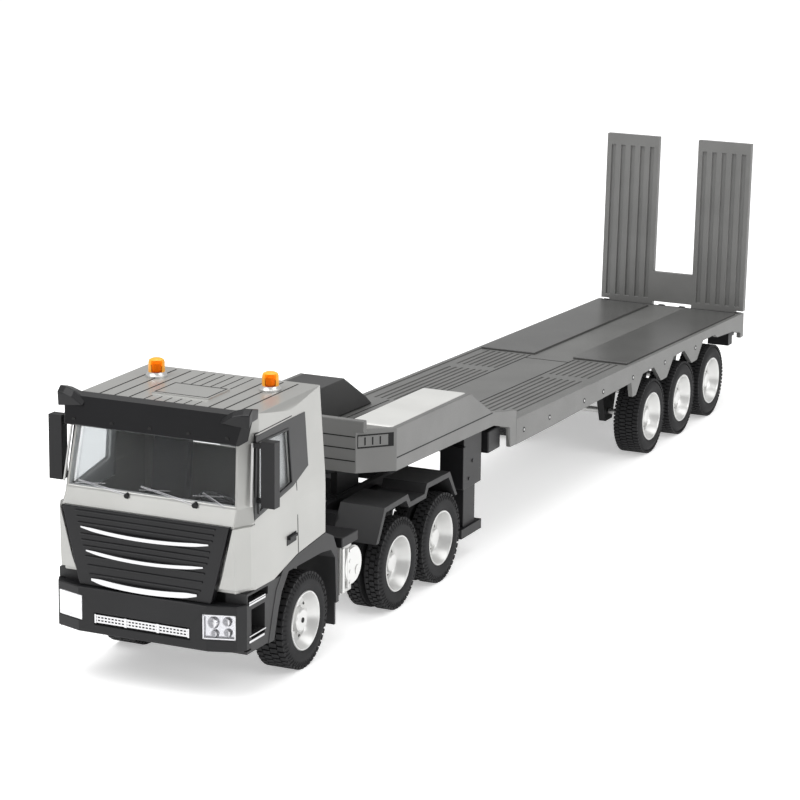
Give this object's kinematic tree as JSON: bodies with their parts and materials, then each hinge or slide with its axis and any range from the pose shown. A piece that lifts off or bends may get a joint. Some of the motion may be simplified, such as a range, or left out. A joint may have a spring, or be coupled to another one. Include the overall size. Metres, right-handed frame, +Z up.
{
  "type": "toy flatbed semi-trailer truck",
  "caption": "Toy articulated lorry: cab tractor with sun visor and roof beacons, stepped-neck flatbed trailer on low wheels and a folding loading ramp at the tail.",
  "frame": {"origin": "centre of the footprint, on the ground between the wheels", "axes": "+Z up; the cab faces -Y and the ramp is at +Y; +X is the vehicle's own left side"},
  "size_m": [0.136, 0.7934, 0.185],
  "materials": {
    "amber_plastic": "translucent amber",
    "black_plastic": "satin black",
    "bright_rim": "satin bright plated",
    "chassis_plastic": "satin dark grey",
    "clear_plastic": "clear moulded plastic",
    "interior_plastic": "matt dark grey",
    "lamp_chrome": "bright plated",
    "locker_light": "satin light grey",
    "pin_steel": "machined",
    "plate_grey": "semi-gloss",
    "rubber_tyre": "matt",
    "silver_plastic": "satin metallic silver",
    "tank_silver": "satin silver",
    "trailer_grey": "fine grained"
  },
  "bodies": {
    "tractor": {"beacon_left": "amber_plastic", "beacon_right": "amber_plastic", "cab_glazing": "clear_plastic", "cab_interior": "interior_plastic", "cab_shell": "silver_plastic", "chassis_frame": "chassis_plastic", "dashboard": "interior_plastic", "drive_mudguard_left": "chassis_plastic", "drive_mudguard_right": "chassis_plastic", "fifth_wheel": "black_plastic", "front_axle": "chassis_plastic", "front_bumper": "black_plastic", "front_mudguard_left": "black_plastic", "front_mudguard_right": "black_plastic", "grille_panel": "black_plastic", "headlamp_left": "lamp_chrome", "headlamp_right": "lamp_chrome", "mirror_left": "black_plastic", "mirror_right": "black_plastic", "side_tank_left": "tank_silver", "side_tank_right": "tank_silver", "sun_visor": "black_plastic"},
    "knuckle_left": {"knuckle_left": "chassis_plastic"},
    "knuckle_right": {"knuckle_right": "chassis_plastic"},
    "front_wheel_left": {"front_tyre_left": "rubber_tyre", "front_rim_left": "bright_rim"},
    "front_wheel_right": {"front_tyre_right": "rubber_tyre", "front_rim_right": "bright_rim"},
    "drive_axle_1": {"drive_wheelset_1": "bright_rim", "drive_tyre_1_left": "rubber_tyre", "drive_tyre_1_right": "rubber_tyre"},
    "drive_axle_2": {"drive_wheelset_2": "bright_rim", "drive_tyre_2_left": "rubber_tyre", "drive_tyre_2_right": "rubber_tyre"},
    "trailer": {"gooseneck": "trailer_grey", "kingpin": "pin_steel", "locker_left": "locker_light", "locker_right": "black_plastic", "deck": "trailer_grey", "deck_plate_left": "plate_grey", "deck_plate_right": "plate_grey", "side_rail_left": "trailer_grey", "side_rail_right": "trailer_grey", "landing_gear": "black_plastic", "axle_carrier": "black_plastic", "tail_beam": "black_plastic", "ramp_pin": "pin_steel"},
    "ramp": {"ramp": "trailer_grey"},
    "trailer_axle_1": {"trailer_wheelset_1": "bright_rim", "trailer_tyre_1_left": "rubber_tyre", "trailer_tyre_1_right": "rubber_tyre"},
    "trailer_axle_2": {"trailer_wheelset_2": "bright_rim", "trailer_tyre_2_left": "rubber_tyre", "trailer_tyre_2_right": "rubber_tyre"},
    "trailer_axle_3": {"trailer_wheelset_3": "bright_rim", "trailer_tyre_3_left": "rubber_tyre", "trailer_tyre_3_right": "rubber_tyre"}
  },
  "joints": [
    {"name": "steer_left", "type": "hinge", "parent": "tractor", "child": "knuckle_left", "pos_m": [0.04, -0.31858, 0.027], "axis": [0, 0, 1], "range_deg": [-25, 25]},
    {"name": "steer_right", "type": "hinge", "parent": "tractor", "child": "knuckle_right", "pos_m": [-0.04, -0.31858, 0.027], "axis": [0, 0, 1], "range_deg": [-25, 25]},
    {"name": "front_wheel_left_spin", "type": "hinge", "parent": "knuckle_left", "child": "front_wheel_left", "pos_m": [0.048, -0.31858, 0.027], "axis": [1, 0, 0], "continuous": true},
    {"name": "front_wheel_right_spin", "type": "hinge", "parent": "knuckle_right", "child": "front_wheel_right", "pos_m": [-0.048, -0.31858, 0.027], "axis": [1, 0, 0], "continuous": true},
    {"name": "drive_axle_1_spin", "type": "hinge", "parent": "tractor", "child": "drive_axle_1", "pos_m": [0, -0.19928, 0.027], "axis": [1, 0, 0], "continuous": true},
    {"name": "drive_axle_2_spin", "type": "hinge", "parent": "tractor", "child": "drive_axle_2", "pos_m": [0, -0.14068, 0.027], "axis": [1, 0, 0], "continuous": true},
    {"name": "articulation", "type": "hinge", "parent": "tractor", "child": "trailer", "pos_m": [0, -0.19058, 0.08], "axis": [0, 0, 1], "range_deg": [-45, 45]},
    {"name": "trailer_axle_1_spin", "type": "hinge", "parent": "trailer", "child": "trailer_axle_1", "pos_m": [0, 0.19787, 0.0257], "axis": [1, 0, 0], "continuous": true},
    {"name": "trailer_axle_2_spin", "type": "hinge", "parent": "trailer", "child": "trailer_axle_2", "pos_m": [0, 0.25692, 0.0257], "axis": [1, 0, 0], "continuous": true},
    {"name": "trailer_axle_3_spin", "type": "hinge", "parent": "trailer", "child": "trailer_axle_3", "pos_m": [0, 0.31597, 0.0257], "axis": [1, 0, 0], "continuous": true},
    {"name": "ramp_fold", "type": "hinge", "parent": "trailer", "child": "ramp", "pos_m": [0, 0.38862, 0.05801], "axis": [-1, 0, 0], "range_deg": [0, 113]}
  ],
  "couplings": [
    {"joint": "steer_right", "follows": "steer_left", "ratio": 1}
  ]
}
